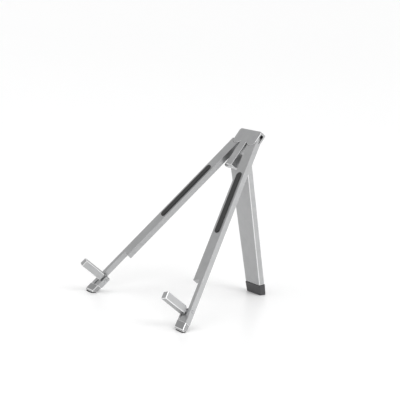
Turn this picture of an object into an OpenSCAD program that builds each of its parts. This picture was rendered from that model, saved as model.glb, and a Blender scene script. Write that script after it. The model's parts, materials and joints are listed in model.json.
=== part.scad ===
// Folding stand for a tablet. Two front legs spread from a hinge head, each with a
// fold-out arm near its foot, and one flat leg stands behind them.
// Millimetres, +Z up, -Y towards the person who uses it. The origin is on the ground,
// under the middle of the open stand.

/* [Open stance] */
// Lean of the front legs, back from upright
front_lean = 39.4; // [35:0.1:42]
// Angle of each front leg out from the middle line
splay = 19.7; // [19:0.1:20.5]
// Lean of the rear leg, its top towards the front
rear_lean = 9.5; // [8:0.1:11]

/* [Front legs] */
// Pivot to ground, along the leg
leg_l = 175; // [170:0.5:180]
// Width of one leg
leg_w = 10.3; // [10:0.1:11]
// Thickness of a leg, front to back
leg_t = 4.4; // [4.2:0.1:5]
// Width of the outer rail beside the arm
rail_w = 3.5; // [3.3:0.1:3.7]
// Wall of the short inner ear
ear_w = 1.25; // [1:0.05:1.4]
// Height above the ground, along the leg, where the folded arm's recess ends
recess_top = 43; // [42.5:0.5:50]
// Bevel along the long edges
edge = 0.4; // [0.2:0.05:0.5]

/* [Leg pivots] */
// Distance between the two leg pivots
pitch = 18.7; // [18.5:0.1:19.5]
// Radius of the leg's tongue round its pivot
tongue_r = 4; // [3.6:0.1:4.2]
// Thickness of the tongue
tongue_t = 2; // [1.8:0.1:2.2]
// Thickness of each flat washer beside the tongue
washer_t = 0.4; // [0.3:0.05:0.5]
// Radius of the rivets that the legs turn on
rivet_r = 1.5; // [1.2:0.1:1.7]

/* [Hinge head] */
// Width of the head
head_w = 29; // [28.5:0.1:30]
// Height of the head above the leg pivots
head_top = 6.4; // [6:0.1:8]
// Radius of the lobes round the leg pivots
lobe_r = 7.2; // [6.8:0.1:7.4]
// Front plate
front_plate = 1.1; // [1:0.05:1.3]
// Back plate
back_plate = 1.5; // [1.3:0.05:1.8]
// Web between the two tongues
web_w = 9; // [8.8:0.1:9.4]
// Width of the plate behind the legs that carries the rear hinge
plate_w = 23.6; // [20:0.2:24]
// Height of that plate
plate_h = 13; // [10:0.5:16]
// Thickness of that plate
plate_t = 2; // [1.6:0.1:2.1]

/* [Arms] */
// Height of the arm pin above the ground, along the leg
pin_h = 16; // [15.6:0.1:17]
// Pin to the front end of the arm
arm_l = 24.6; // [22:0.1:25]
// Width of the arm
arm_w = 5.3; // [5:0.1:5.4]
// Height of the arm
arm_h = 6; // [5.6:0.1:6.2]
// Radius of the arm pin
arm_pin_r = 1; // [0.8:0.1:1.2]
// Width of the narrow tongue that the pin goes through
arm_tongue_w = 3.5; // [3:0.1:3.8]

/* [Feet] */
// Height of the front foot's top edge, up the slope of the legs
foot_top = 6.9; // [6:0.1:7]
// How far a front foot stands out from its leg, in front and at the sides
foot_lip = 0.3; // [0.1:0.05:0.4]
// How far its back lies in front of the leg's back
foot_inset = 0.4; // [0.2:0.1:0.6]
// Height of its upright toe above the ground
toe_h = 2.4; // [1.8:0.1:2.8]
// Thickness of the rubber pad under it
pad_t = 0.9; // [0.8:0.1:1.4]

/* [Rear leg] */
// Width of the rear leg at the ground
rear_w = 19.2; // [19:0.1:20]
// Angle by which each side widens upwards
rear_taper = 1.3; // [1:0.1:1.5]
// Thickness of the rear leg
rear_t = 4.9; // [4.7:0.1:5]
// Distance of its hinge behind the front legs' middle plane
hinge_back = 8.4; // [8.3:0.1:8.8]
// Distance of its hinge below the leg pivots
hinge_drop = 20.7; // [18:0.1:24]
// Radius of the hinge pin
hinge_pin_r = 1.25; // [1:0.05:1.4]
// How far the leg's ears reach above the hinge
rear_heel = 5; // [4.6:0.1:5.4]
// Width of the head's lug between the leg's two ears
lug_w = 11.6; // [11:0.1:12.4]
// Height of the dark foot, along the leg
rear_foot_h = 9; // [7:0.5:12]
// How far that foot stands out from the leg all round
rear_foot_lip = 0.35; // [0.2:0.05:0.5]

/* [Grips] */
// Length of the rubber grip on the front of each leg
grip_l = 56; // [30:1:80]
// Width of the grip
grip_w = 5; // [4:0.5:7]
// Height of its lower end above the ground, along the leg
grip_low = 85; // [60:1:88]
// How far it stands out from the leg
grip_proud = 0.8; // [0.5:0.1:1]

/* [Hidden] */
$fn = 64;

metal = [0.72, 0.73, 0.74];
steel = [0.55, 0.56, 0.58];
nylon = [0.85, 0.85, 0.82];
rubber = [0.06, 0.06, 0.06];
dark = [0.24, 0.24, 0.25];

far = 60;          // reach of a cutting block
slip = 0.04;       // radial clearance of a turning fit
snug = 0.01;       // radial clearance of a fixed pin
face_gap = 0.02;   // gap at a washer's face
stop_gap = 0.05;   // gap left at a stop
arc_gap = 0.3;     // gap between a leg's shoulder and the head's lobe
leg_gap = 0.3;     // gap between a leg and the head's spine or plate

pivot_h = leg_l * cos(splay);                  // pivots up the slope of the legs
foot_x = pitch / 2 + leg_l * sin(splay);       // middle of a front foot, sideways
hinge_h = pivot_h - hinge_drop;
hinge_y = hinge_h * sin(front_lean) + hinge_back * cos(front_lean);
hinge_z = hinge_h * cos(front_lean) - hinge_back * sin(front_lean);
rear_l = hinge_z / cos(rear_lean);             // hinge to ground, along the rear leg
open_angle = front_lean + rear_lean;
hinge_w = rear_w + 2 * rear_l * tan(rear_taper);   // width of the rear leg at its hinge

pin_z = pin_h - leg_l;                         // arm pin in the leg's frame
rail_x = leg_w / 2 - rail_w;                   // inner face of the rail
ear_x = ear_w - leg_w / 2;                     // inner face of the ear
arm_x = (rail_x + ear_x) / 2;                  // middle of the arm
knuckle_r = arm_h / 2;
ear_r = knuckle_r + 0.1;
body_y = knuckle_r + 0.3;                      // arm pin to the arm's full width
block_step = 0.6;                              // the block's front, behind the rail's

slot_front = front_plate - leg_t / 2;          // the slot that the tongues turn in
slot_back = slot_front + tongue_t + 2 * washer_t;
head_back = slot_back + back_plate;
spine_w = pitch - leg_w - 2 * leg_gap;         // fills the gap between the closed legs
plate_front = leg_t / 2 + leg_gap;
plate_back = plate_front + plate_t;
heel_h = (pitch / 2 - web_w / 2 - stop_gap - tongue_r * cos(splay)) / sin(splay);

// Depth of the open stand, so that the origin is under its middle
front_z = (pin_h - knuckle_r) * cos(splay) + (arm_x - arm_w / 2) * sin(splay);
front_y = front_z * sin(front_lean) - arm_l * cos(front_lean);
rear_y = hinge_y + hinge_z * tan(rear_lean) + (rear_t / 2 + rear_foot_lip) / cos(rear_lean);
middle_y = (front_y + rear_y) / 2;
toe_y = toe_h * tan(front_lean) - (leg_t / 2 + foot_lip) / cos(front_lean) - middle_y;

// ---- frames: each puts its children where the open stand has them ----

module in_slope() translate([0, -middle_y, 0]) rotate([-front_lean, 0, 0]) children();
module in_head() in_slope() translate([0, 0, pivot_h]) children();
module in_leg() in_head() translate([pitch / 2, 0, 0]) rotate([0, -splay, 0]) children();
module in_arm() in_leg() translate([arm_x, 0, pin_z]) children();
module in_rear() translate([0, hinge_y - middle_y, hinge_z]) rotate([rear_lean, 0, 0]) children();
module other_side() mirror([1, 0, 0]) children();

// ---- solids that several parts use ----

// Rectangle about the origin with bevelled corners
module bevelled(w, h, c)
    polygon([[c - w / 2, -h / 2], [w / 2 - c, -h / 2], [w / 2, c - h / 2], [w / 2, h / 2 - c],
             [w / 2 - c, h / 2], [c - w / 2, h / 2], [-w / 2, h / 2 - c], [-w / 2, c - h / 2]]);

// Outline in X and Z, given thickness from y0 back to y1
module slab(y0, y1) translate([0, y1, 0]) rotate([90, 0, 0]) linear_extrude(y1 - y0) children();

// Outline in Y and Z, given width from x0 to x1
module across(x0, x1) translate([x0, 0, 0]) rotate([90, 0, 90]) linear_extrude(x1 - x0) children();

// Bar up the Z axis with bevelled long edges
module bar(w, t, z0, z1, c = edge) translate([0, 0, z0]) linear_extrude(z1 - z0) bevelled(w, t, c);

// Bar that widens upwards, with the width w at the height 0
module widening_bar(w, t, z0, z1, c = edge) intersection() {
    half_bar(w, t, z0, z1, c);
    other_side() half_bar(w, t, z0, z1, c);
    translate([-far, -far, z0]) cube([2 * far, 2 * far, z1 - z0]);
}

module half_bar(w, t, z0, z1, c) translate([w / 2, 0, 0]) rotate([0, rear_taper, 0])
    translate([-far, 0, 0]) bar(2 * far, t, z0 - 2, z1 + 2, c);

// Rod along X between two places
module rod_x(r, x0, x1) translate([x0, 0, 0]) rotate([0, 90, 0]) cylinder(r = r, h = x1 - x0);

// Ring along X between two places
module ring_x(r, hole, x0, x1) difference() {
    rod_x(r, x0, x1);
    rod_x(hole, x0 - 1, x1 + 1);
}

// Half space above or below the top of a front foot
module above_foot() translate([-far, -far, foot_top]) cube([4 * far, 2 * far, 4 * far]);
module below_foot() translate([-far, -far, foot_top - far]) cube([4 * far, 2 * far, far]);

// Layer of the world from the ground up, between two heights
module layer(z0, z1) translate([0, -far * 2, z0]) cube([far * 2, far * 4, z1 - z0]);

// ---- front legs ----

tenon = [6, 2.4, 3];    // the leg's end inside its foot, the last number its length

module leg_tongue() slab(slot_front + washer_t, slot_front + washer_t + tongue_t) union() {
    circle(r = tongue_r);
    translate([-tongue_r, -lobe_r - 2]) square([2 * tongue_r, lobe_r + 2]);
    translate([-tongue_r, 0]) square([tongue_r, heel_h]);
}

module leg_bar() difference() {
    bar(leg_w, leg_t, -leg_l - 5, -1);
    rotate([90, 0, 0]) cylinder(r = lobe_r + arc_gap, h = far, center = true);
    // recess for the folded arm, open inwards
    translate([-far + rail_x, -far / 2, pin_z - ear_r])
        cube([far, far, recess_top - pin_h + ear_r]);
    // step in front of the block under the arm
    translate([-far + rail_x, -far - leg_t / 2 + block_step, pin_z - ear_r - far])
        cube([far, far, far + 1]);
    translate([0, -leg_t / 2 - 0.01, grip_low - leg_l]) grip_shape(0.62, 0.05);
}

module leg_ear() across(-leg_w / 2, ear_x) intersection() {
    union() {
        circle(r = ear_r);
        translate([-ear_r, -ear_r - 1]) square([2 * ear_r, ear_r + 1]);
    }
    translate([-leg_t / 2, -far]) square([leg_t, 2 * far]);
}

module front_leg() color(metal) {
    difference() {
        union() {
            intersection() {
                in_leg() union() {
                    leg_bar();
                    translate([0, 0, pin_z]) leg_ear();
                }
                in_slope() above_foot();
            }
            in_leg() leg_tongue();
            intersection() {
                in_leg() bar(tenon.x, tenon.y, -leg_l, pin_z - ear_r - 1, 0.2);
                in_slope() translate([0, 0, foot_top - tenon.z]) translate([-far, -far, 0])
                    cube([4 * far, 2 * far, 2 * far]);
            }
        }
        in_leg() rotate([90, 0, 0]) cylinder(r = rivet_r + slip, h = far, center = true);
        in_leg() translate([0, 0, pin_z]) rod_x(arm_pin_r + snug, -far, far);
    }
}

// Outline of the grip strip with round ends, proud of and let into the leg
module grip_shape(depth, gap) translate([0, depth, 0]) rotate([90, 0, 0])
    linear_extrude(depth + grip_proud) union() {
        translate([-grip_w / 2 - gap, grip_w / 2]) square([grip_w + 2 * gap, grip_l - grip_w]);
        for (z = [grip_w / 2, grip_l - grip_w / 2]) translate([0, z]) circle(r = grip_w / 2 + gap);
    }

module leg_grip() color(rubber) in_leg() translate([0, -leg_t / 2, grip_low - leg_l])
    grip_shape(0.6, 0);

module front_foot() color(metal) difference() {
    intersection() {
        in_leg() foot_bar(foot_lip);
        in_slope() below_foot();
        layer(pad_t, far);
        behind_toe(0);
    }
    intersection() {
        in_leg() bar(tenon.x + 0.02, tenon.y + 0.02, -leg_l, pin_z, 0.2);
        in_slope() translate([-far, -far, foot_top - tenon.z - 0.1]) cube([4 * far, 2 * far, far]);
    }
}

module foot_pad() color(rubber) intersection() {
    in_leg() foot_bar(-0.8);
    layer(0, pad_t);
    behind_toe(0.15);
}

// The foot's section up the leg, with its sides and its front a lip outside the leg's
module foot_bar(lip) translate([0, -(foot_inset + foot_lip) / 2, 0])
    bar(leg_w + 2 * lip, leg_t + foot_lip - foot_inset, -leg_l - 12, pin_z, 0.6);

// The world behind the toe's upright face, less an inset
module behind_toe(inset) translate([0, toe_y + inset, -1]) cube([far * 2, far * 2, far]);

// ---- arms ----

module arm() color(metal) in_arm() difference() {
    union() {
        difference() {
            slab(-arm_l, -body_y) bevelled(arm_w, arm_h, edge);
            // round the top corner over the pin
            across(-far, far) translate([-body_y - 2, arm_h / 2 - 2]) difference() {
                square([far, far]);
                circle(r = 2);
            }
        }
        across(-arm_tongue_w / 2, arm_tongue_w / 2) union() {
            circle(r = knuckle_r);
            translate([-body_y - 1, -knuckle_r]) square([body_y + 1, 2 * knuckle_r - 1]);
        }
    }
    rod_x(arm_pin_r + slip, -far, far);
}

module arm_pin() color(steel) in_leg() translate([0, 0, pin_z])
    rod_x(arm_pin_r, 0.1 - leg_w / 2, leg_w / 2 - 0.1);

module arm_spacers() color(steel) in_arm() for (side = [-1, 1]) scale_x(side)
    ring_x(2.2, arm_pin_r + snug, arm_tongue_w / 2 + face_gap, (rail_x - ear_x) / 2 - face_gap);

module scale_x(side) if (side > 0) children(); else other_side() children();

// ---- hinge head ----

module head_outline() intersection() {
    union() {
        for (side = [-1, 1]) translate([side * pitch / 2, 0]) circle(r = lobe_r);
        translate([-head_w / 2, 0]) square([head_w, head_top]);
    }
    union() {
        translate([-head_w / 2, -far]) square([head_w, far + head_top - 2]);
        translate([2 - head_w / 2, 0]) square([head_w - 4, head_top]);
        for (side = [-1, 1]) translate([side * (head_w / 2 - 2), head_top - 2]) circle(r = 2);
    }
}

module head_lug() across(-lug_w / 2, lug_w / 2) translate([hinge_back, -hinge_drop]) union() {
    circle(r = 3);
    translate([plate_back - 0.5 - hinge_back, -3]) square([hinge_back - plate_back + 0.5, 6]);
}

// Carries the lug, and stops the heels of the rear leg
module hinge_plate() slab(plate_front, plate_back) translate([0, -hinge_drop]) union() {
    square([plate_w, plate_h - 4], center = true);
    square([plate_w - 4, plate_h], center = true);
    for (x = [-1, 1], z = [-1, 1]) translate([x * (plate_w / 2 - 2), z * (plate_h / 2 - 2)]) circle(r = 2);
}

module head_spine() slab(-leg_t / 2, plate_back)
    translate([-spine_w / 2, -hinge_drop - plate_h / 2]) square([spine_w, hinge_drop + plate_h / 2]);

module hinge_head() color(metal) in_head() difference() {
    union() {
        slab(-leg_t / 2, head_back) head_outline();
        head_spine();
        hinge_plate();
        head_lug();
    }
    for (side = [-1, 1]) scale_x(side) {
        slab(slot_front, slot_back) translate([web_w / 2, -far])
            square([far, far + tongue_r + arc_gap]);
        translate([pitch / 2, 0, 0]) rotate([90, 0, 0])
            cylinder(r = rivet_r + snug, h = far, center = true);
        translate([pitch / 2, -leg_t / 2, 0]) rotate([-90, 0, 0])
            cylinder(r1 = rivet_r + 0.9 + snug, r2 = rivet_r + snug, h = 0.85);
    }
    translate([0, hinge_back, -hinge_drop]) rod_x(hinge_pin_r + slip, -far, far);
}

// Countersunk in front, so that the tablet lies flat, and domed behind
module leg_rivet() color(steel) in_head() translate([pitch / 2, 0, 0]) rotate([-90, 0, 0])
    rotate_extrude() polygon([[0, 0.05 - leg_t / 2], [rivet_r + 0.85, 0.05 - leg_t / 2],
        [rivet_r, 0.85 - leg_t / 2], [rivet_r, head_back], [rivet_r + 1, head_back],
        [rivet_r + 0.8, head_back + 0.5], [rivet_r, head_back + 0.8], [0, head_back + 0.9]]);

module leg_washers() color(nylon) in_head() translate([pitch / 2, 0, 0]) rotate([-90, 0, 0])
    for (y = [slot_front + face_gap, slot_back - washer_t]) translate([0, 0, y]) difference() {
        cylinder(r = tongue_r - 0.4, h = washer_t - face_gap);
        translate([0, 0, -1]) cylinder(r = rivet_r + snug, h = 3);
    }

// ---- rear leg ----

rear_tenon = [15, 2.2, 5];    // the leg's end inside its foot, the last number its length
rear_cut = rear_foot_h - rear_l;
ear_gap = 0.4;                // from the lug's side to the leg's ear

module rear_leg() color(metal) in_rear() difference() {
    union() {
        translate([0, 0, -rear_l]) widening_bar(rear_w, rear_t, rear_foot_h, rear_l + rear_heel);
        bar(rear_tenon.x, rear_tenon.y, rear_cut - rear_tenon.z, rear_cut + 1, 0.2);
    }
    translate([-lug_w / 2 - ear_gap, -far, -3.6]) cube([lug_w + 2 * ear_gap, 2 * far, far]);
    rod_x(hinge_pin_r + snug, -far, far);
    // faces on the ears that stop flat on the head's plate when the leg is open
    rotate([-open_angle, 0, 0]) translate([-far, plate_back + stop_gap - hinge_back - far, -far])
        cube([2 * far, far, 2 * far]);
}

module rear_hinge_pin() color(steel) in_rear() rod_x(hinge_pin_r, 0.1 - hinge_w / 2, hinge_w / 2 - 0.1);

module rear_hinge_washers() color(nylon) in_rear() for (side = [-1, 1]) scale_x(side)
    ring_x(2.2, hinge_pin_r + slip, lug_w / 2 + face_gap, lug_w / 2 + ear_gap - face_gap);

module rear_foot() color(dark) difference() {
    intersection() {
        in_rear() translate([0, 0, -rear_l])
            widening_bar(rear_w + 2 * rear_foot_lip, rear_t + 2 * rear_foot_lip, -2, rear_foot_h, 0.6);
        translate([-far, -far * 2, 0]) cube([2 * far, far * 4, far]);
    }
    in_rear() bar(rear_tenon.x + 0.02, rear_tenon.y + 0.02, rear_cut - rear_tenon.z - 0.1, far, 0.2);
}

hinge_head();
other_side() front_leg();  // left_leg
front_leg();  // right_leg
other_side() leg_rivet();  // left_leg_rivet
leg_rivet();  // right_leg_rivet
other_side() leg_washers();  // left_leg_washers
leg_washers();  // right_leg_washers
other_side() leg_grip();  // left_leg_grip
leg_grip();  // right_leg_grip
other_side() front_foot();  // left_foot
front_foot();  // right_foot
other_side() foot_pad();  // left_foot_pad
foot_pad();  // right_foot_pad
other_side() arm();  // left_arm
arm();  // right_arm
other_side() arm_pin();  // left_arm_pin
arm_pin();  // right_arm_pin
other_side() arm_spacers();  // left_arm_spacers
arm_spacers();  // right_arm_spacers
rear_leg();
rear_hinge_pin();
rear_hinge_washers();
rear_foot();
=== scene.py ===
import json
import math

import bmesh
import bpy
from mathutils import Matrix, Vector


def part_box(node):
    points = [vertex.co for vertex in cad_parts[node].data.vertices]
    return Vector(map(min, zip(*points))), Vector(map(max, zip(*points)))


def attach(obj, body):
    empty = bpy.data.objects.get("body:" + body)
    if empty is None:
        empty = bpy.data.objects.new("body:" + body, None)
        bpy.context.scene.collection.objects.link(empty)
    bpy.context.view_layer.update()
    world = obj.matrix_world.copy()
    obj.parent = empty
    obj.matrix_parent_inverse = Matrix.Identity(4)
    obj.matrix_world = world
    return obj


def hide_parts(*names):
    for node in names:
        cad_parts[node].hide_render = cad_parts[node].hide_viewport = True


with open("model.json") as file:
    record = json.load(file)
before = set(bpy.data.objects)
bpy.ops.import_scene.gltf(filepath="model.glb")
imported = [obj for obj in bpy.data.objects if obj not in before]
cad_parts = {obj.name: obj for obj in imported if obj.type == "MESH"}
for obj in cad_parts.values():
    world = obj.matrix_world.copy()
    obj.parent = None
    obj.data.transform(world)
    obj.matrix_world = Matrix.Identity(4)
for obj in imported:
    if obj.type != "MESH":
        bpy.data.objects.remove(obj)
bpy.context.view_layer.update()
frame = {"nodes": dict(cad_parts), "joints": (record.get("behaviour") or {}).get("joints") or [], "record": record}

MM = 0.001


# ---- frames of the moving parts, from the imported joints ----

def joint(name):
    return next(j for j in frame["joints"] if j["name"] == name)


def mount(name):
    return next(m for m in frame["record"]["mounts"] if m["name"] == name)


def axes_at(point, across, back):
    """A part's own frame: X across it, Y towards the back, Z up it."""
    across, back = Vector(across).normalized(), Vector(back).normalized()
    turned = Matrix((across, back, across.cross(back))).transposed().to_4x4()
    turned.translation = Vector(point)
    return turned


def places(node, part_frame):
    """Where a CAD node's points are in a part's own frame."""
    to_own = part_frame.inverted()
    return [to_own @ v.co for v in frame["nodes"][node].data.vertices]


def own_box(node, part_frame):
    """Lowest and highest corner of a CAD node, measured in a part's own frame."""
    points = places(node, part_frame)
    low = Vector(min(p[i] for p in points) for i in range(3))
    high = Vector(max(p[i] for p in points) for i in range(3))
    return low, high


SIDEWAYS = Vector((1, 0, 0))
BACK = joint("right_leg_swing")["axis"]
ACROSS = -Vector(joint("right_arm_fold")["axis"])
PIVOT = Vector(joint("right_leg_swing")["pos_m"])
HINGE = Vector(joint("rear_leg_swing")["pos_m"])
UP_REAR_LEG = HINGE - Vector(mount("rear_sole")["pos_m"])

WORLD = Matrix.Identity(4)
LEG = axes_at(PIVOT, ACROSS, BACK)
ARM = axes_at(joint("right_arm_fold")["pos_m"], ACROSS, BACK)
HEAD = axes_at((0, PIVOT.y, PIVOT.z), SIDEWAYS, BACK)
REAR = axes_at(HINGE, SIDEWAYS, UP_REAR_LEG.cross(SIDEWAYS))


# ---- camera, light and floor ----

# the camera looks at the aim point from an azimuth and elevation in degrees, rolled a little
AIM = Vector((0.0040, 0.0038, 0.0819))
AIM_DISTANCE = 1.049
AZIMUTH, ELEVATION, ROLL = 56.92, 9.94, 0.96
LENS = 121.7
# the sun's azimuth, elevation and width in degrees
SUN_AZIMUTH, SUN_ELEVATION, SUN_WIDTH = 95, 42, 30
SUN_STRENGTH = 1.15
ROOM_STRENGTH = 0.74
# azimuth and elevation of each panel's middle, half its width in degrees, and how much it adds
PANELS = ((153, 14, 30, 0.25), (20, 78, 22, 1.1), (-70, 30, 40, 0.05), (122, 4, 25, 0.9))
# where a panel's soft edge begins and ends, as parts of half its width
PANEL_EDGE = (0.6, 1.4)
FLOOR_SIZE = 80


def direction(azimuth, elevation):
    """The way towards an azimuth and elevation in degrees; azimuth 0 is straight in front."""
    around, up = math.radians(azimuth), math.radians(elevation)
    return Vector((math.sin(around) * math.cos(up), -math.cos(around) * math.cos(up), math.sin(up)))


def add_camera():
    away = direction(AZIMUTH, ELEVATION)
    camera = bpy.data.objects.new("camera", bpy.data.cameras.new("camera"))
    bpy.context.scene.collection.objects.link(camera)
    camera.data.lens = LENS
    camera.location = AIM + away * AIM_DISTANCE
    roll = Matrix.Rotation(math.radians(ROLL), 4, "Z").to_quaternion()
    camera.rotation_mode = "QUATERNION"
    camera.rotation_quaternion = (-away).to_track_quat("-Z", "Y") @ roll
    bpy.context.scene.camera = camera


def add_sun():
    """A far, wide light, so that the whole floor is lit alike."""
    light = bpy.data.lights.new("sun", "SUN")
    light.energy, light.angle = SUN_STRENGTH, math.radians(SUN_WIDTH)
    sun = bpy.data.objects.new("sun", light)
    bpy.context.scene.collection.objects.link(sun)
    sun.rotation_mode = "QUATERNION"
    sun.rotation_quaternion = direction(SUN_AZIMUTH, SUN_ELEVATION).to_track_quat("Z", "Y")


def add_room():
    """A pale room with wide soft panels of light overhead, behind, to the right and, faintly, to the left."""
    world = bpy.data.worlds.new("room")
    bpy.context.scene.world = world
    world.use_nodes = True
    tree = world.node_tree
    facing = add_node(tree, "ShaderNodeTexCoord").outputs["Generated"]
    level = add_node(tree, "ShaderNodeValue").outputs[0]
    level.default_value = ROOM_STRENGTH
    for azimuth, elevation, width, strength in PANELS:
        inner, outer = (math.cos(math.radians(width * part)) for part in PANEL_EDGE)
        towards = add_node(tree, "ShaderNodeVectorMath", {"operation": "DOT_PRODUCT"}, _0=facing,
                           _1=direction(azimuth, elevation))
        panel = add_node(tree, "ShaderNodeMapRange", {"interpolation_type": "SMOOTHSTEP"},
                         Value=towards.outputs["Value"], From_Min=outer, From_Max=inner,
                         To_Min=0.0, To_Max=strength)
        total = add_node(tree, "ShaderNodeMath", {"operation": "ADD"}, _0=level, _1=panel.outputs["Result"])
        level = total.outputs[0]
    background = tree.nodes["Background"]
    background.inputs["Color"].default_value = (1, 1, 1, 1)
    tree.links.new(level, background.inputs["Strength"])
    bpy.context.scene.view_settings.view_transform = "Standard"


def add_floor():
    deselect()
    bpy.ops.mesh.primitive_plane_add(size=FLOOR_SIZE)
    floor = named("floor")
    material = bpy.data.materials.new("floor")
    material.use_nodes = True
    shader = material.node_tree.nodes["Principled BSDF"]
    shader.inputs["Base Color"].default_value = (0.93, 0.93, 0.93, 1)
    shader.inputs["Roughness"].default_value = 0.3
    floor.data.materials.append(material)


# ---- making solids by hand ----
# Solids are made a thousand times larger than they are, and shrunk when they are put in place,
# because cutting and bevelling are exact at that size. Every measure given below is the true one.

LARGER = 1000
SMOOTH_BELOW = math.radians(38)
REACH = 50 * MM     # length of a cutter beyond what it cuts


def deselect():
    if bpy.context.object and bpy.context.object.mode != "OBJECT":
        bpy.ops.object.mode_set(mode="OBJECT")
    bpy.ops.object.select_all(action="DESELECT")


def take(piece):
    """Select one piece and make it active."""
    deselect()
    piece.select_set(True)
    bpy.context.view_layer.objects.active = piece
    return piece


def edit_all(piece):
    """Enter edit mode with everything selected."""
    take(piece)
    bpy.ops.object.mode_set(mode="EDIT")
    bpy.ops.mesh.select_all(action="SELECT")


def edit_some(piece, kind, chosen):
    """Enter edit mode with those points, edges or faces selected whose corners' places pass a test."""
    take(piece)
    bpy.ops.object.mode_set(mode="EDIT")
    bpy.ops.mesh.select_mode(type=kind)
    bpy.ops.mesh.select_all(action="DESELECT")
    mesh = bmesh.from_edit_mesh(piece.data)
    for part in {"VERT": mesh.verts, "EDGE": mesh.edges, "FACE": mesh.faces}[kind]:
        corners = (part,) if kind == "VERT" else part.verts
        part.select_set(chosen([corner.co / LARGER for corner in corners]))
    mesh.select_flush_mode()
    bmesh.update_edit_mesh(piece.data)


def leave_edit():
    bpy.ops.object.mode_set(mode="OBJECT")


def named(name):
    piece = bpy.context.object
    piece.name = piece.data.name = name
    return piece


def block(name, low, high):
    """A block between two corners."""
    low, high = Vector(low), Vector(high)
    deselect()
    bpy.ops.mesh.primitive_cube_add(size=1, location=(low + high) / 2 * LARGER)
    piece = named(name)
    piece.scale = (high - low) * LARGER
    bpy.ops.object.transform_apply(location=True, rotation=True, scale=True)
    return piece


def rod(name, radius, start, end, sides=48, tip_radius=None):
    """A round rod, or a cone, between two points."""
    start, end = Vector(start) * LARGER, Vector(end) * LARGER
    tip = radius if tip_radius is None else tip_radius
    deselect()
    bpy.ops.mesh.primitive_cone_add(vertices=sides, radius1=radius * LARGER, radius2=tip * LARGER,
                                    depth=(end - start).length, location=(start + end) / 2,
                                    rotation=(end - start).to_track_quat("Z", "Y").to_euler())
    bpy.ops.object.transform_apply(location=True, rotation=True, scale=True)
    return named(name)


def arc(x, z, radius, start, end, steps):
    """Points along an arc in X and Z, between two angles in degrees."""
    turns = [math.radians(start + (end - start) * i / steps) for i in range(steps + 1)]
    return [(x + radius * math.cos(a), z + radius * math.sin(a)) for a in turns]


def both_halves(right):
    """A whole outline from its right half, given from the bottom up."""
    return right + [(-x, z) for x, z in reversed(right)]


def plate(name, outline, front, back):
    """A plate with an outline in X and Z, drawn as a ring of points and extruded."""
    deselect()
    bpy.ops.mesh.primitive_circle_add(vertices=len(outline), fill_type="NGON")
    piece = named(name)
    for point, (x, z) in zip(piece.data.vertices, outline):
        point.co = Vector((x, front, z)) * LARGER
    edit_all(piece)
    bpy.ops.mesh.extrude_region_move(TRANSFORM_OT_translate={"value": (0, (back - front) * LARGER, 0)})
    bpy.ops.mesh.select_all(action="SELECT")
    bpy.ops.mesh.normals_make_consistent(inside=False)
    leave_edit()
    return piece


def apply_modifier(piece, kind, **settings):
    take(piece)
    modifier = piece.modifiers.new(kind.lower(), kind)
    for key, value in settings.items():
        setattr(modifier, key, value)
    bpy.ops.object.modifier_apply(modifier=modifier.name)
    return piece


def combine(piece, other, operation):
    """Add or cut; the faces are made triangles first, so that earlier cuts in them do no harm."""
    edit_all(piece)
    bpy.ops.mesh.quads_convert_to_tris()
    leave_edit()
    apply_modifier(piece, "BOOLEAN", operation=operation, object=other, solver="EXACT")
    bpy.data.meshes.remove(other.data)
    return piece


def cut(piece, cutter):
    return combine(piece, cutter, "DIFFERENCE")


def weld(piece, other):
    return combine(piece, other, "UNION")


def slice_off(piece, own_frame, point, normal, given_in):
    """Cut away what lies on the normal's side of a plane, given in any frame, and close the cut."""
    to_own = own_frame.inverted() @ given_in
    edit_all(piece)
    bpy.ops.mesh.bisect(plane_co=to_own @ Vector(point) * LARGER, plane_no=to_own.to_3x3() @ Vector(normal),
                        use_fill=True, clear_outer=True, threshold=0.00001)
    bpy.ops.mesh.select_all(action="SELECT")
    bpy.ops.mesh.normals_make_consistent(inside=False)
    leave_edit()
    return piece


def round_edges(piece, chosen, radius, segments=6):
    """Round the edges whose two ends pass a test of place."""
    edit_some(piece, "EDGE", chosen)
    bpy.ops.mesh.bevel(offset=radius * LARGER, segments=segments, affect="EDGES")
    leave_edit()
    return piece


def runs_front_to_back(ends):
    along = ends[0] - ends[1]
    return abs(along.x) < 0.0001 * MM and abs(along.z) < 0.0001 * MM


def clean(piece):
    """Merge doubled points and flat neighbours, as they are left by cutting."""
    edit_all(piece)
    bpy.ops.mesh.remove_doubles(threshold=0.001)
    bpy.ops.mesh.dissolve_limited(angle_limit=math.radians(0.6))
    leave_edit()
    return piece


def bevel(piece, width, segments=3):
    """Bevel every sharp edge; the bevels take the piece's second material, which on the silver parts is a much
    lighter metal: a painted highlight along the edges.
    """
    while len(piece.data.materials) < 2:
        piece.data.materials.append(None)
    return apply_modifier(piece, "BEVEL", width=width * LARGER, segments=segments, limit_method="ANGLE",
                          angle_limit=math.radians(28), miter_outer="MITER_ARC", material=1)


def shade(piece):
    """Smooth the bevels into the flat faces beside them."""
    bpy.ops.object.shade_smooth_by_angle(angle=SMOOTH_BELOW)
    return apply_modifier(piece, "WEIGHTED_NORMAL", keep_sharp=True, weight=80)


def place(piece, part_frame):
    """Put a piece made in a part's own frame where the part is, and shade it."""
    take(piece)
    piece.matrix_world = part_frame @ Matrix.Scale(1 / LARGER, 4)
    bpy.ops.object.transform_apply(location=True, rotation=True, scale=True)
    return shade(piece)


def mirrored(piece, name):
    """The left-hand copy of a right-hand piece, with its own mesh."""
    take(piece)
    bpy.ops.object.duplicate()
    copy = named(name)
    copy.scale = (-1, 1, 1)
    bpy.ops.object.transform_apply(location=True, rotation=True, scale=True)
    edit_all(copy)
    bpy.ops.mesh.remove_doubles(threshold=0.0001 * MM)
    bpy.ops.mesh.normals_make_consistent(inside=False)
    leave_edit()
    return shade(copy)


# ---- materials ----

ROUGH_SPREAD = 0.08


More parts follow.
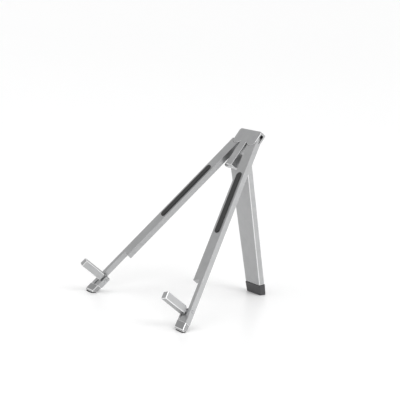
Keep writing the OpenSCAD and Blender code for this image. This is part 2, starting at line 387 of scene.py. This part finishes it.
def shader_group(name, inputs, outputs):
    group = bpy.data.node_groups.new(name, "ShaderNodeTree")
    for label, kind, value in inputs:
        socket = group.interface.new_socket(name=label, in_out="INPUT", socket_type=kind)
        if value is not None:
            socket.default_value = value
    for label, kind in outputs:
        group.interface.new_socket(name=label, in_out="OUTPUT", socket_type=kind)
    return group, group.nodes.new("NodeGroupInput"), group.nodes.new("NodeGroupOutput")


def add_node(tree, kind, settings=None, **values):
    """A node with its settings and its sockets' values; a socket given a socket is linked to it."""
    node = tree.nodes.new(kind)
    for key, value in (settings or {}).items():
        setattr(node, key, value)
    for key, value in values.items():
        socket = node.inputs[int(key[1:])] if key[1:].isdigit() else node.inputs[key.replace("_", " ")]
        if isinstance(value, bpy.types.NodeSocket):
            tree.links.new(value, socket)
        else:
            socket.default_value = value
    return node


def make_grain_group():
    """Fine blasted grain with soft patches over it, from Object coordinates in metres."""
    group, into, out = shader_group(
        "blasted grain",
        [("Place", "NodeSocketVector", None), ("Grain Size", "NodeSocketFloat", 0.3 * MM),
         ("Patch Size", "NodeSocketFloat", 20 * MM)],
        [("Grain", "NodeSocketFloat"), ("Patches", "NodeSocketFloat")])
    finer = add_node(group, "ShaderNodeMath", {"operation": "DIVIDE"}, _0=1.0, _1=into.outputs["Grain Size"])
    wider = add_node(group, "ShaderNodeMath", {"operation": "DIVIDE"}, _0=1.0, _1=into.outputs["Patch Size"])
    grain = add_node(group, "ShaderNodeTexNoise", Vector=into.outputs["Place"], Scale=finer.outputs[0],
                     Detail=3.0, Roughness=0.6)
    patches = add_node(group, "ShaderNodeTexNoise", Vector=into.outputs["Place"], Scale=wider.outputs[0],
                       Detail=4.0, Roughness=0.55, Distortion=0.4)
    group.links.new(grain.outputs["Fac"], out.inputs["Grain"])
    group.links.new(patches.outputs["Fac"], out.inputs["Patches"])
    return group


GRAIN = make_grain_group()


def make_material(name, dark, light, roughness, metallic, grain_size, grain_depth, patch_size=20 * MM):
    """A finish whose colour and gloss drift in soft patches over a fine grain."""
    material = bpy.data.materials.new(name)
    material.use_nodes = True
    tree = material.node_tree
    shader = tree.nodes["Principled BSDF"]
    shader.inputs["Metallic"].default_value = metallic
    coordinates = add_node(tree, "ShaderNodeTexCoord")
    grain = add_node(tree, "ShaderNodeGroup", {"node_tree": GRAIN}, Place=coordinates.outputs["Object"],
                     Grain_Size=grain_size, Patch_Size=patch_size)
    mixed = add_node(tree, "ShaderNodeMath", {"operation": "MULTIPLY_ADD"},
                     _0=grain.outputs["Grain"], _1=0.35, _2=grain.outputs["Patches"])
    tone = add_node(tree, "ShaderNodeMapRange", Value=mixed.outputs[0], From_Min=0.35, From_Max=1.0)
    colour = add_node(tree, "ShaderNodeMix", {"data_type": "RGBA"}, Factor=tone.outputs["Result"])
    colour.inputs[6].default_value = (*dark, 1)
    colour.inputs[7].default_value = (*light, 1)
    tree.links.new(colour.outputs[2], shader.inputs["Base Color"])
    gloss = add_node(tree, "ShaderNodeMapRange", Value=mixed.outputs[0], From_Min=0.35, From_Max=1.0,
                     To_Min=roughness - ROUGH_SPREAD, To_Max=roughness + ROUGH_SPREAD)
    tree.links.new(gloss.outputs["Result"], shader.inputs["Roughness"])
    bump = add_node(tree, "ShaderNodeBump", Height=grain.outputs["Grain"], Strength=0.5,
                    Distance=grain_depth)
    tree.links.new(bump.outputs["Normal"], shader.inputs["Normal"])
    return material


SILVER = make_material("satin_silver", dark=(0.38, 0.383, 0.387), light=(0.46, 0.463, 0.467), roughness=0.40,
                       metallic=1.0, grain_size=0.22 * MM, grain_depth=0.01 * MM, patch_size=6 * MM)
CAST_SILVER = make_material("cast_silver", dark=(0.30, 0.302, 0.305), light=(0.38, 0.382, 0.386),
                            roughness=0.46, metallic=1.0, grain_size=0.3 * MM, grain_depth=0.02 * MM,
                            patch_size=6 * MM)
# a much lighter metal for the silver parts' bevels: a painted highlight along their edges
PAINTED_EDGE_HIGHLIGHT = make_material("painted_edge_highlight", dark=(0.78, 0.783, 0.787), light=(0.86, 0.863, 0.867), roughness=0.30,
                         metallic=1.0, grain_size=0.2 * MM, grain_depth=0.004 * MM)
STEEL = make_material("turned_steel", dark=(0.34, 0.34, 0.35), light=(0.45, 0.45, 0.46), roughness=0.3,
                      metallic=1.0, grain_size=0.2 * MM, grain_depth=0.008 * MM)
NYLON = make_material("nylon", dark=(0.70, 0.69, 0.65), light=(0.78, 0.77, 0.73), roughness=0.45,
                      metallic=0.0, grain_size=0.4 * MM, grain_depth=0.01 * MM)
BLACK_RUBBER = make_material("black_rubber", dark=(0.010, 0.010, 0.010), light=(0.022, 0.022, 0.022),
                             roughness=0.6, metallic=0.0, grain_size=0.3 * MM, grain_depth=0.03 * MM)
DARK_RUBBER = make_material("dark_rubber", dark=(0.035, 0.035, 0.037), light=(0.055, 0.055, 0.058),
                            roughness=0.42, metallic=0.0, grain_size=0.3 * MM, grain_depth=0.02 * MM)


def hand_in(piece, body, material, node):
    """Give a piece its finish and put it in place of its CAD node."""
    piece.data.materials[0] = material
    # the silver parts' bevels take the much lighter metal, a painted highlight along their edges
    piece.data.materials[1] = PAINTED_EDGE_HIGHLIGHT if material in (SILVER, CAST_SILVER) else material
    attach(piece, body)
    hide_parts(node)


def hand_in_both(piece, what, body, material):
    """Hand in a right-hand piece and its left-hand copy, each in place of its CAD node."""
    left = mirrored(piece, "left_" + what + "_finish")
    hand_in(piece, "right_" + body, material, "right_" + what)
    hand_in(left, "left_" + body, material, "left_" + what)


def refinish(material, *nodes):
    """Give CAD nodes that stay as they are their finish."""
    for node in nodes:
        frame["nodes"][node].data.materials.clear()
        frame["nodes"][node].data.materials.append(material)


# ---- front legs ----

leg_low, leg_high = own_box("right_leg", LEG)
spacers_low, spacers_high = own_box("right_arm_spacers", LEG)
arm_low, arm_high = own_box("right_arm", ARM)
pin_low, pin_high = own_box("right_arm_pin", LEG)
grip_low, grip_high = own_box("right_leg_grip", LEG)

EDGE = 0.45 * MM                     # bevel along the long edges
FACE_GAP = 0.02 * MM                 # gap at a spacer's or washer's face
FIXED_FIT = 0.02 * MM                # radial room round a pin that stays still
TURNING_FIT = 0.04 * MM              # radial room round a pin that something turns on
SPARE = 8 * MM                       # extra length that a slanted cut takes off again
LEG_X = leg_high.x                   # half the leg's width
LEG_Y = -own_box("hinge_head", HEAD)[0].y
LEG_TOP = -1 * MM
KNUCKLE = arm_high.z                 # radius of the arm's round end
EAR_R = KNUCKLE + 0.1 * MM           # from the arm pin to the ear's top
EAR_CORNER_R = 1.1 * MM
RAIL_X = spacers_high.x + FACE_GAP   # inner face of the rail
EAR_X = spacers_low.x - FACE_GAP     # inner face of the ear
PIN_Z = (pin_low.z + pin_high.z) / 2
PIN_R = (pin_high.z - pin_low.z) / 2
RECESS_L = 27 * MM                   # from the arm pin up to the recess's end
STEP = 0.6 * MM                      # the front of the foot's block, behind the rail's
SHOULDER_R = 7.5 * MM                # hollow in the leg's end, round the head's lobe
TONGUE_R = 4.0 * MM
TONGUE_Y = (-0.7 * MM, 1.3 * MM)     # front and back of the tongue
HEEL_H = 3.07 * MM                   # height of the tongue's heel above the pivot
RIVET_R = 1.5 * MM
GRIP_GAP = Vector((0.06, 0, 0.06)) * MM
FOOT_TOP = own_box("right_foot", HEAD)[1].z


def drill_x(piece, radius, y, z, x0, x1):
    """A hole along X with a broken edge at each end."""
    cut(piece, rod("drill", radius, (x0 - REACH, y, z), (x1 + REACH, y, z)))
    for x, out in ((x0, -1), (x1, 1)):
        start, tip = (x - out * radius * 0.25, y, z), (x + out * 0.02 * MM, y, z)
        cut(piece, rod("break", radius, start, tip, tip_radius=radius * 1.28))
    return piece


def make_tongue():
    """The leg's round upper end, with the heel that stops it when the stand is open."""
    heel = math.degrees(math.asin(HEEL_H / TONGUE_R))
    bottom = -SHOULDER_R - 2 * MM
    outline = [(-TONGUE_R, bottom), (TONGUE_R, bottom)]
    outline += arc(0, 0, TONGUE_R, 0, 180 - heel, 28) + [(-TONGUE_R, HEEL_H)]
    return bevel(plate("tongue", outline, *TONGUE_Y), 0.15 * MM, 2)


def make_ear():
    """The short wall on the inner side, which holds the arm pin's other end."""
    ear = block("ear", (-LEG_X, -LEG_Y, PIN_Z - EAR_R - SPARE / 2), (EAR_X, LEG_Y, PIN_Z + EAR_R))
    round_edges(ear, lambda ends: all(p.z > PIN_Z for p in ends), EAR_CORNER_R)
    slice_off(ear, LEG, (0, 0, FOOT_TOP), (0, 0, -1), HEAD)
    return bevel(ear, EDGE * 0.6)


def make_strip(name, low, high):
    """An upright strip with round ends."""
    radius = (high.x - low.x) / 2 * 0.97
    return round_edges(block(name, low, high), runs_front_to_back, radius, 12)


def make_leg():
    leg = block("leg", (-LEG_X, -LEG_Y, leg_low.z - SPARE), (LEG_X, LEG_Y, LEG_TOP))
    cut(leg, rod("shoulder", SHOULDER_R, (0, -REACH, 0), (0, REACH, 0), 96))
    cut(leg, block("recess", (-REACH, -REACH, PIN_Z - EAR_R), (RAIL_X, REACH, PIN_Z + RECESS_L)))
    cut(leg, block("step", (-REACH, -REACH, -REACH * 6), (RAIL_X, STEP - LEG_Y, PIN_Z)))
    slice_off(leg, LEG, (0, 0, FOOT_TOP), (0, 0, -1), HEAD)
    bevel(leg, EDGE)
    weld(leg, make_ear())
    weld(leg, make_tongue())
    cut(leg, rod("rivet_hole", RIVET_R, (0, -REACH, 0), (0, REACH, 0)))
    cut(leg, make_strip("groove", grip_low - GRIP_GAP, grip_high + GRIP_GAP))
    drill_x(leg, PIN_R + FIXED_FIT, 0, PIN_Z, -LEG_X, LEG_X)
    return place(leg, LEG)


def make_grip():
    return place(bevel(make_strip("grip", grip_low, grip_high), 0.3 * MM), LEG)


# ---- feet ----

PAD_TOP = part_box("right_foot_pad")[1].z
PAD_INSET = 0.8 * MM     # from the leg's side to the pad's


def make_foot():
    """A shoe on the leg's end, cut level across the slope at the top, with an upright toe."""
    low, high = own_box("right_foot", LEG)
    foot = block("foot", (low.x, low.y, low.z - SPARE), high)
    toe_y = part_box("right_foot")[0].y
    slice_off(foot, LEG, (0, 0, FOOT_TOP), (0, 0, 1), HEAD)
    slice_off(foot, LEG, (0, 0, PAD_TOP), (0, 0, -1), WORLD)
    slice_off(foot, LEG, (0, toe_y, 0), (0, -1, 0), WORLD)
    bevel(clean(foot), 0.4 * MM, 4)
    return place(foot, LEG)


def make_foot_pad():
    low, high = own_box("right_foot_pad", LEG)
    side = LEG_X - PAD_INSET
    pad = block("foot_pad", (-side, low.y, low.z - SPARE), (side, high.y, high.z + SPARE))
    toe_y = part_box("right_foot_pad")[0].y
    slice_off(pad, LEG, (0, 0, PAD_TOP), (0, 0, 1), WORLD)
    slice_off(pad, LEG, (0, 0, 0), (0, 0, -1), WORLD)
    slice_off(pad, LEG, (0, toe_y, 0), (0, -1, 0), WORLD)
    bevel(clean(pad), 0.2 * MM)
    return place(pad, LEG)


# ---- arms ----

ARM_BACK = -KNUCKLE - 0.3 * MM       # back of the arm's full width
ARM_CORNER_R = 2 * MM
SPACER_L = 1.0 * MM
TONGUE_STEP = 1 * MM                 # the arm's tongue is lower than the arm by this
OFF_KNUCKLE = 0.03 * MM              # keeps the tongue's underside off the knuckle's curve


def make_arm():
    arm = block("arm", arm_low, (arm_high.x, ARM_BACK, arm_high.z))
    nearly = 0.001 * MM
    round_edges(arm, lambda ends: all(p.y > ARM_BACK - nearly and p.z > arm_high.z - nearly for p in ends),
                ARM_CORNER_R, 8)
    bevel(arm, EDGE)
    half = (spacers_high.x - spacers_low.x) / 2 - SPACER_L
    tongue = block("tongue", (-half, ARM_BACK - MM, OFF_KNUCKLE - KNUCKLE), (half, 0, KNUCKLE - TONGUE_STEP))
    weld(tongue, rod("knuckle", KNUCKLE, (-half, 0, 0), (half, 0, 0), 64))
    weld(arm, tongue)
    cut(arm, rod("pin_hole", PIN_R + TURNING_FIT, (-REACH, 0, 0), (REACH, 0, 0)))
    return place(arm, ARM)


# ---- rear leg ----

rear_low, rear_high = own_box("rear_leg", REAR)
rear_foot_low, rear_foot_high = own_box("rear_foot", REAR)
WASHERS_X = own_box("rear_hinge_washers", REAR)[1].x    # outer faces of the hinge's washers
HINGE_PIN_R = own_box("rear_hinge_pin", REAR)[1].z
NOTCH_BOTTOM = -3.6 * MM
STOP_GAP = 0.05 * MM
HINGE_PLATE = (2.5 * MM, 4.5 * MM)                      # front and back of the head's plate


def half_width(node, height):
    """Half of a rear leg node's width at a height in the leg's own frame."""
    return max(p.x for p in places(node, REAR) if abs(p.z - height) < 0.05 * MM)


def widening(name, low, high, half_low, half_high):
    """A block that is wider at the top than at the bottom."""
    piece = block(name, (-half_low, low.y, low.z), (half_low, high.y, high.z))
    edit_some(piece, "VERT", lambda corner: corner[0].z > (low.z + high.z) / 2)
    bpy.ops.transform.resize(value=(half_high / half_low, 1, 1))
    leave_edit()
    return piece


def make_rear_leg():
    """A flat bar, forked at the top, whose ears stop flat on the head's plate."""
    low = Vector((0, rear_low.y, rear_foot_high.z))
    leg = widening("rear_leg", low, rear_high, half_width("rear_leg", low.z), rear_high.x)
    notch = WASHERS_X + FACE_GAP
    cut(leg, block("notch", (-notch, -REACH, NOTCH_BOTTOM), (notch, REACH, REACH)))
    slice_off(leg, REAR, (0, HINGE_PLATE[1] + STOP_GAP, 0), (0, -1, 0), HEAD)
    bevel(clean(leg), EDGE)
    drill_x(leg, HINGE_PIN_R + FIXED_FIT, 0, 0, -rear_high.x, rear_high.x)
    return place(leg, REAR)


def make_rear_foot():
    """A moulded shoe that goes on tapering below its top, and is cut level with the ground."""
    low, high = rear_foot_low, rear_foot_high
    bottom, top = half_width("rear_foot", low.z), half_width("rear_foot", high.z)
    spare = 3 * MM
    spare_bottom = bottom - (top - bottom) * spare / (high.z - low.z)
    foot = widening("rear_foot", low - Vector((0, 0, spare)), high, spare_bottom, top)
    slice_off(foot, REAR, (0, 0, 0), (0, 0, -1), WORLD)
    return place(bevel(foot, 0.7 * MM, 4), REAR)


# ---- hinge head ----

head_low, head_high = own_box("hinge_head", HEAD)
LOBE_R = 7.2 * MM
CORNER_R = 2 * MM
CROSSBAR_BACK = 3.2 * MM
SLOT_Y = (-1.1 * MM, 1.7 * MM)    # front and back of the slots that the legs' tongues turn in
SLOT_TOP = 4.3 * MM
WEB_HALF = 4.5 * MM
SPINE_HALF = 3.9 * MM
PLATE_HALF = 11.8 * MM
LUG_HALF = WASHERS_X - 0.38 * MM
BARREL_R = 3 * MM
HEAD_EDGE = 0.3 * MM


def head_outline():
    """Crossbar with a lobe round each leg pivot, and the spine down from it."""
    start = math.degrees(math.asin((PIVOT.x - SPINE_HALF) / LOBE_R)) + 90
    end = math.degrees(math.acos((head_high.x - PIVOT.x) / LOBE_R))
    right = [(SPINE_HALF, head_low.z + 0.2 * MM)] + arc(PIVOT.x, 0, LOBE_R, -start, -end, 24)
    right += arc(head_high.x - CORNER_R, head_high.z - CORNER_R, CORNER_R, 0, 90, 8)
    return both_halves(right)


def hinge_plate_outline(middle):
    half = middle - head_low.z
    right = arc(PLATE_HALF - CORNER_R, middle - half + CORNER_R, CORNER_R, -90, 0, 8)
    right += arc(PLATE_HALF - CORNER_R, middle + half - CORNER_R, CORNER_R, 0, 90, 8)
    return both_halves(right)


def countersink(x, front):
    """A drill for a rivet with a countersunk head in the front face."""
    tip = front + 0.8 * MM
    drill = rod("drill", RIVET_R + 0.92 * MM, (x, front - 0.05 * MM, 0), (x, tip, 0), tip_radius=RIVET_R)
    edit_some(drill, "FACE", lambda corners: all(p.y > tip - 0.01 * MM for p in corners))
    bpy.ops.mesh.extrude_region_move(TRANSFORM_OT_translate={"value": (0, 9 * MM * LARGER, 0)})
    leave_edit()
    return drill


def make_lug(hinge):
    """The barrel that the rear leg's fork holds, joined to the plate in front of it."""
    lug = block("lug", (-LUG_HALF, HINGE_PLATE[1] - 0.5 * MM, hinge.z - BARREL_R),
                (LUG_HALF, hinge.y + BARREL_R, hinge.z + BARREL_R))
    round_edges(lug, lambda ends: all(p.y > hinge.y for p in ends), 0.98 * BARREL_R, 14)
    return bevel(lug, 0.2 * MM)


def make_head():
    hinge = HEAD.inverted() @ HINGE
    front = head_low.y
    spine = SPINE_HALF - 0.3 * MM
    head = bevel(plate("head", head_outline(), front, CROSSBAR_BACK), HEAD_EDGE)
    weld(head, bevel(plate("hinge_plate", hinge_plate_outline(hinge.z), *HINGE_PLATE), HEAD_EDGE))
    back = block("spine_back", (-spine, 0, hinge.z), (spine, HINGE_PLATE[1] - 0.2 * MM, 0))
    weld(head, bevel(back, HEAD_EDGE))
    weld(head, make_lug(hinge))
    for inner, outer in ((-REACH, -WEB_HALF), (WEB_HALF, REACH)):
        cut(head, block("slot", (inner, SLOT_Y[0], -REACH), (outer, SLOT_Y[1], SLOT_TOP)))
    for x in (-PIVOT.x, PIVOT.x):
        cut(head, countersink(x, front))
    hole_r = HINGE_PIN_R + TURNING_FIT
    cut(head, rod("hinge_hole", hole_r, (-REACH, hinge.y, hinge.z), (REACH, hinge.y, hinge.z)))
    return place(head, HEAD)


# ---- the stand ----

add_camera()
add_sun()
add_room()

hand_in_both(make_leg(), "leg", "leg", SILVER)
hand_in_both(make_grip(), "leg_grip", "leg", BLACK_RUBBER)
hand_in_both(make_foot(), "foot", "leg", CAST_SILVER)
hand_in_both(make_foot_pad(), "foot_pad", "leg", BLACK_RUBBER)
hand_in_both(make_arm(), "arm", "arm", SILVER)
hand_in(make_rear_leg(), "rear_leg", SILVER, "rear_leg")
hand_in(make_rear_foot(), "rear_leg", DARK_RUBBER, "rear_foot")
hand_in(make_head(), "head", SILVER, "hinge_head")

refinish(STEEL, "rear_hinge_pin")
refinish(NYLON, "rear_hinge_washers")
for side in ("left_", "right_"):
    refinish(STEEL, side + "leg_rivet", side + "arm_pin", side + "arm_spacers")
    refinish(NYLON, side + "leg_washers")

add_floor()
